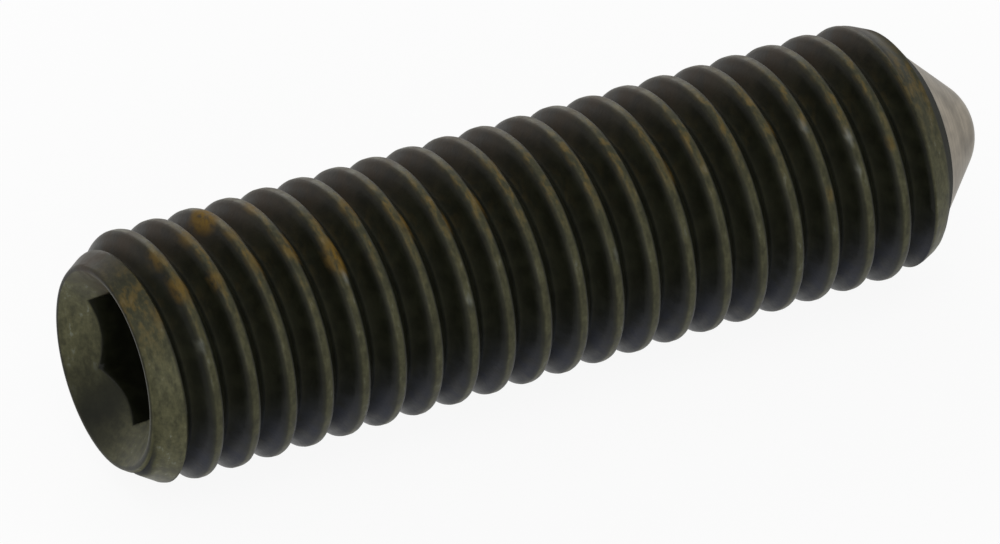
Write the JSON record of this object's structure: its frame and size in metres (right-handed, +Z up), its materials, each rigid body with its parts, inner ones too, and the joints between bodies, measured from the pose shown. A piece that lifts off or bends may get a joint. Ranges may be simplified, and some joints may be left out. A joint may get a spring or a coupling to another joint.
{
  "type": "socket set screw",
  "caption": "Headless hexagon-socket set screw, threaded along its whole length, with a ground cone point at the far end.",
  "frame": {"origin": "on the floor under the middle of the screw, halfway between the socket end and the tip", "axes": "+X along the screw's axis from the socket end towards the point, +Z up from the floor that the screw lies on"},
  "size_m": [0.03, 0.008, 0.0079],
  "materials": {
    "blackened_steel": "black oxide, oiled, dull; worn olive-grey on the crests with a few rust stains, and bare ground steel on the cone point"
  },
  "bodies": {
    "root": {"set_screw": "blackened_steel"}
  },
  "joints": []
}
